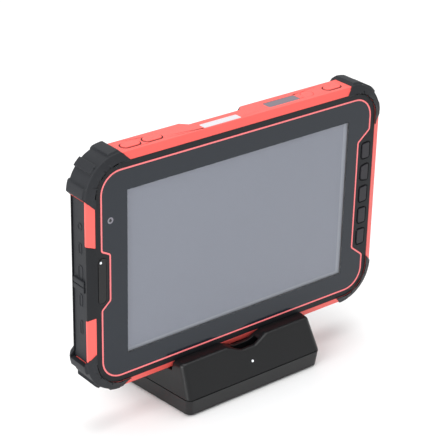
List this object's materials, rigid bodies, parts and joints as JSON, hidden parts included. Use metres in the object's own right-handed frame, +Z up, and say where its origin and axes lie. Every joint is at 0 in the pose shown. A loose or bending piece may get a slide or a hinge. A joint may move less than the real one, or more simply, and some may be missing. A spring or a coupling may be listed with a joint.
{
  "type": "data collector",
  "caption": "Rugged slab-shaped handheld screen unit with rubber corner bumpers and side keys, standing upright in a small wedge-shaped charging cradle.",
  "frame": {"origin": "on the table, under the centre of the whole object's outline box", "axes": "+Z up, +X to the viewer's right along the screen, +Y from the screen towards the back"},
  "size_m": [0.2316, 0.076, 0.1827],
  "materials": {
    "coral_plastic": "satin",
    "coral_trim": "satin",
    "black_plastic": "satin",
    "rubber_black": "matt",
    "key_rubber": "matt",
    "badge_black": "gloss",
    "cover_glass": "gloss",
    "screen_grey": "gloss",
    "dark_window": "gloss",
    "light_white": "gloss",
    "label_silver": "satin",
    "rubber_soft": "matt",
    "circuit_board": "satin",
    "port_metal": "satin",
    "screw_steel": "satin",
    "chassis_alloy": "satin",
    "contact_gold": "gloss",
    "inner_plastic": "matt",
    "cradle_plastic": "satin"
  },
  "bodies": {
    "cradle": {"cradle_body": "cradle_plastic", "cradle_base": "cradle_plastic", "cradle_feet": "rubber_soft", "cradle_screws": "screw_steel", "ballast_plate": "screw_steel", "charging_board": "circuit_board", "contact_block": "inner_plastic", "charge_light": "light_white", "power_inlet": "inner_plastic", "slot_pads": "rubber_soft"},
    "charging_pins": {"charging_pins": "contact_gold"},
    "collector": {"front_frame": "black_plastic", "pinstripe_trim": "coral_trim", "cover_glass": "cover_glass", "lcd_panel": "screen_grey", "front_camera": "dark_window", "badge_plate": "badge_black", "status_light": "light_white", "key_mat": "rubber_soft", "key_board": "circuit_board", "housing": "coral_plastic", "scan_window": "dark_window", "scan_engine": "inner_plastic", "label_strip": "label_silver", "antenna_plug": "coral_plastic", "side_switches": "port_metal", "switch_boards": "circuit_board", "rear_cover": "black_plastic", "rear_cover_screws": "screw_steel", "rear_camera": "dark_window", "flash_window": "light_white", "speaker": "inner_plastic", "cover_seal": "rubber_soft", "chassis_plate": "chassis_alloy", "battery_pack": "inner_plastic", "main_board": "circuit_board", "port_board": "circuit_board", "dock_contacts": "contact_gold", "contact_holder": "inner_plastic", "door_hinge_pins": "screw_steel", "headset_jack": "port_metal", "usb_c_port": "port_metal", "usb_a_port": "port_metal", "hdmi_port": "port_metal", "card_slot": "port_metal", "bumper_top_left": "rubber_black", "bumper_top_right": "rubber_black", "bumper_bottom_left": "rubber_black", "bumper_bottom_right": "rubber_black"},
    "volume_up_button": {"volume_up_button": "coral_plastic"},
    "volume_down_button": {"volume_down_button": "coral_plastic"},
    "power_button": {"power_button": "coral_plastic"},
    "upper_port_door": {"upper_port_door": "rubber_black"},
    "lower_port_door": {"lower_port_door": "rubber_black"},
    "front_key_1": {"front_key_1": "key_rubber"},
    "front_key_2": {"front_key_2": "key_rubber"},
    "front_key_3": {"front_key_3": "key_rubber"},
    "front_key_4": {"front_key_4": "key_rubber"},
    "front_key_5": {"front_key_5": "key_rubber"}
  },
  "joints": [
    {"name": "collector_lift", "type": "slide", "parent": "cradle", "child": "collector", "axis": [0, 0, 1], "range_m": [0, 0.04]},
    {"name": "charging_pins_press", "type": "slide", "parent": "cradle", "child": "charging_pins", "axis": [0, 0, -1], "range_m": [0, 0.001], "stiffness_N_per_m": 600, "springref_m": -0.0005},
    {"name": "front_key_1_press", "type": "slide", "parent": "collector", "child": "front_key_1", "axis": [0, 1, 0], "range_m": [0, 0.0006], "stiffness_N_per_m": 1500, "springref_m": -0.0003},
    {"name": "front_key_2_press", "type": "slide", "parent": "collector", "child": "front_key_2", "axis": [0, 1, 0], "range_m": [0, 0.0006], "stiffness_N_per_m": 1500, "springref_m": -0.0003},
    {"name": "front_key_3_press", "type": "slide", "parent": "collector", "child": "front_key_3", "axis": [0, 1, 0], "range_m": [0, 0.0006], "stiffness_N_per_m": 1500, "springref_m": -0.0003},
    {"name": "front_key_4_press", "type": "slide", "parent": "collector", "child": "front_key_4", "axis": [0, 1, 0], "range_m": [0, 0.0006], "stiffness_N_per_m": 1500, "springref_m": -0.0003},
    {"name": "front_key_5_press", "type": "slide", "parent": "collector", "child": "front_key_5", "axis": [0, 1, 0], "range_m": [0, 0.0006], "stiffness_N_per_m": 1500, "springref_m": -0.0003},
    {"name": "volume_up_press", "type": "slide", "parent": "collector", "child": "volume_up_button", "axis": [0, 0, -1], "range_m": [0, 0.0006], "stiffness_N_per_m": 1500, "springref_m": -0.0003},
    {"name": "volume_down_press", "type": "slide", "parent": "collector", "child": "volume_down_button", "axis": [0, 0, -1], "range_m": [0, 0.0006], "stiffness_N_per_m": 1500, "springref_m": -0.0003},
    {"name": "power_press", "type": "slide", "parent": "collector", "child": "power_button", "axis": [0, 0, -1], "range_m": [0, 0.0006], "stiffness_N_per_m": 1500, "springref_m": -0.0003},
    {"name": "upper_port_door_hinge", "type": "hinge", "parent": "collector", "child": "upper_port_door", "pos_m": [-0.1114, -0.00895, 0.1546], "axis": [0, 1, 0], "range_deg": [0, 90]},
    {"name": "lower_port_door_hinge", "type": "hinge", "parent": "collector", "child": "lower_port_door", "pos_m": [-0.1114, -0.00895, 0.05], "axis": [0, -1, 0], "range_deg": [0, 90]}
  ]
}
